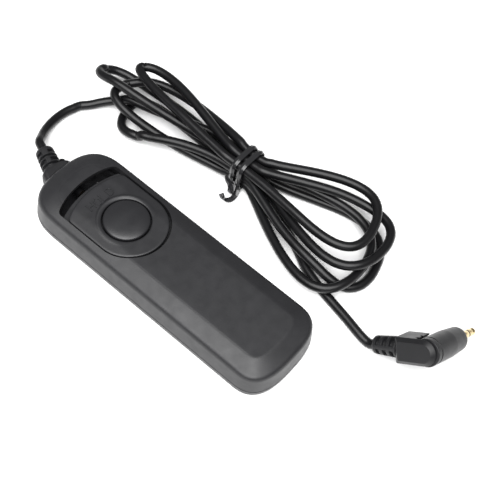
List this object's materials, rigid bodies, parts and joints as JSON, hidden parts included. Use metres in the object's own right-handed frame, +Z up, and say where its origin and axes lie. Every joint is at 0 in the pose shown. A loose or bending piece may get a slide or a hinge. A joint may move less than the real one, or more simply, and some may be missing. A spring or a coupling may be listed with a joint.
{
  "type": "wired remote shutter release",
  "caption": "Wired remote shutter release: charcoal handset with a round button on a hold slider, contact leaves inside, and a cord folded in a tied hank to a right-angle 2.5 mm plug.",
  "frame": {"origin": "middle of the flat underside of the handset, cord and plug left out", "axes": "+X across the handset, towards the hank; +Y along the handset towards the cord; +Z up, out of the button"},
  "size_m": [0.082, 0.1594, 0.0202],
  "materials": {
    "case_plastic": "charcoal moulded plastic with a fine grain",
    "button_plastic": "charcoal moulded plastic, satin",
    "plug_plastic": "dark grey moulded plastic, satin",
    "cord_vinyl": "black vinyl cord sheath, satin",
    "lead_insulation": "black vinyl wire insulation",
    "soft_rubber": "soft black moulded strain relief, matte",
    "tie_coating": "glossy black plastic-coated wire",
    "board_laminate": "brown paper laminate",
    "pale_plastic": "natural insulating plastic",
    "spring_brass": "rolled spring brass",
    "plain_steel": "zinc plated steel",
    "gold_plate": "pale gold plating, polished",
    "pin_insulator": "black insulator ring"
  },
  "bodies": {
    "handset": {"top_shell": "case_plastic", "bottom_shell": "case_plastic", "contact_board": "board_laminate", "release_leaf": "spring_brass", "stack_spacer_lower": "pale_plastic", "stack_spacer_middle": "pale_plastic", "stack_spacer_upper": "pale_plastic", "stack_clamp_plate": "plain_steel", "stack_rivet_left": "plain_steel", "stack_rivet_right": "plain_steel", "detent_spring": "plain_steel", "board_screw_left": "plain_steel", "board_screw_right": "plain_steel", "clip_screw_left": "plain_steel", "clip_screw_right": "plain_steel", "shell_screw_head_left": "plain_steel", "shell_screw_head_right": "plain_steel", "shell_screw_tail_left": "plain_steel", "shell_screw_tail_right": "plain_steel", "cable_clip": "case_plastic", "inner_cord_end": "cord_vinyl", "handset_strain_relief": "soft_rubber", "lead_wire_focus": "lead_insulation", "lead_wire_release": "lead_insulation", "lead_wire_common": "lead_insulation", "cord_from_handset": "cord_vinyl", "cord_hank": "cord_vinyl", "twist_tie": "tie_coating", "cord_to_plug": "cord_vinyl", "plug_strain_relief": "soft_rubber", "plug_housing": "plug_plastic", "plug_disc": "plug_plastic", "plug_barrel": "plug_plastic", "plug_sleeve": "gold_plate", "plug_insulator_inner": "pin_insulator", "plug_ring": "gold_plate", "plug_insulator_outer": "pin_insulator", "plug_tip": "gold_plate"},
    "slider": {"hold_slider": "case_plastic"},
    "button": {"release_button": "button_plastic"},
    "common_leaf_arm": {"common_leaf": "spring_brass"},
    "focus_leaf_arm": {"focus_leaf": "spring_brass"}
  },
  "joints": [
    {"name": "hold_slide", "type": "slide", "parent": "handset", "child": "slider", "axis": [0, 1, 0], "range_m": [0, 0.0034]},
    {"name": "button_press", "type": "slide", "parent": "slider", "child": "button", "axis": [0, 0, -1], "range_m": [0, 0.0012], "stiffness_N_per_m": 300, "springref_m": -0.0006},
    {"name": "common_leaf_flex", "type": "hinge", "parent": "handset", "child": "common_leaf_arm", "pos_m": [0, 0.003, 0.0067], "axis": [-1, 0, 0], "range_deg": [0, 4.5]},
    {"name": "focus_leaf_flex", "type": "hinge", "parent": "handset", "child": "focus_leaf_arm", "pos_m": [0, 0.003, 0.00585], "axis": [-1, 0, 0], "range_deg": [0, 3]}
  ],
  "couplings": [
    {"joint": "common_leaf_flex", "follows": "button_press", "rad_per_m": 60.976},
    {"joint": "focus_leaf_flex", "follows": "button_press", "rad_per_m": 38}
  ]
}
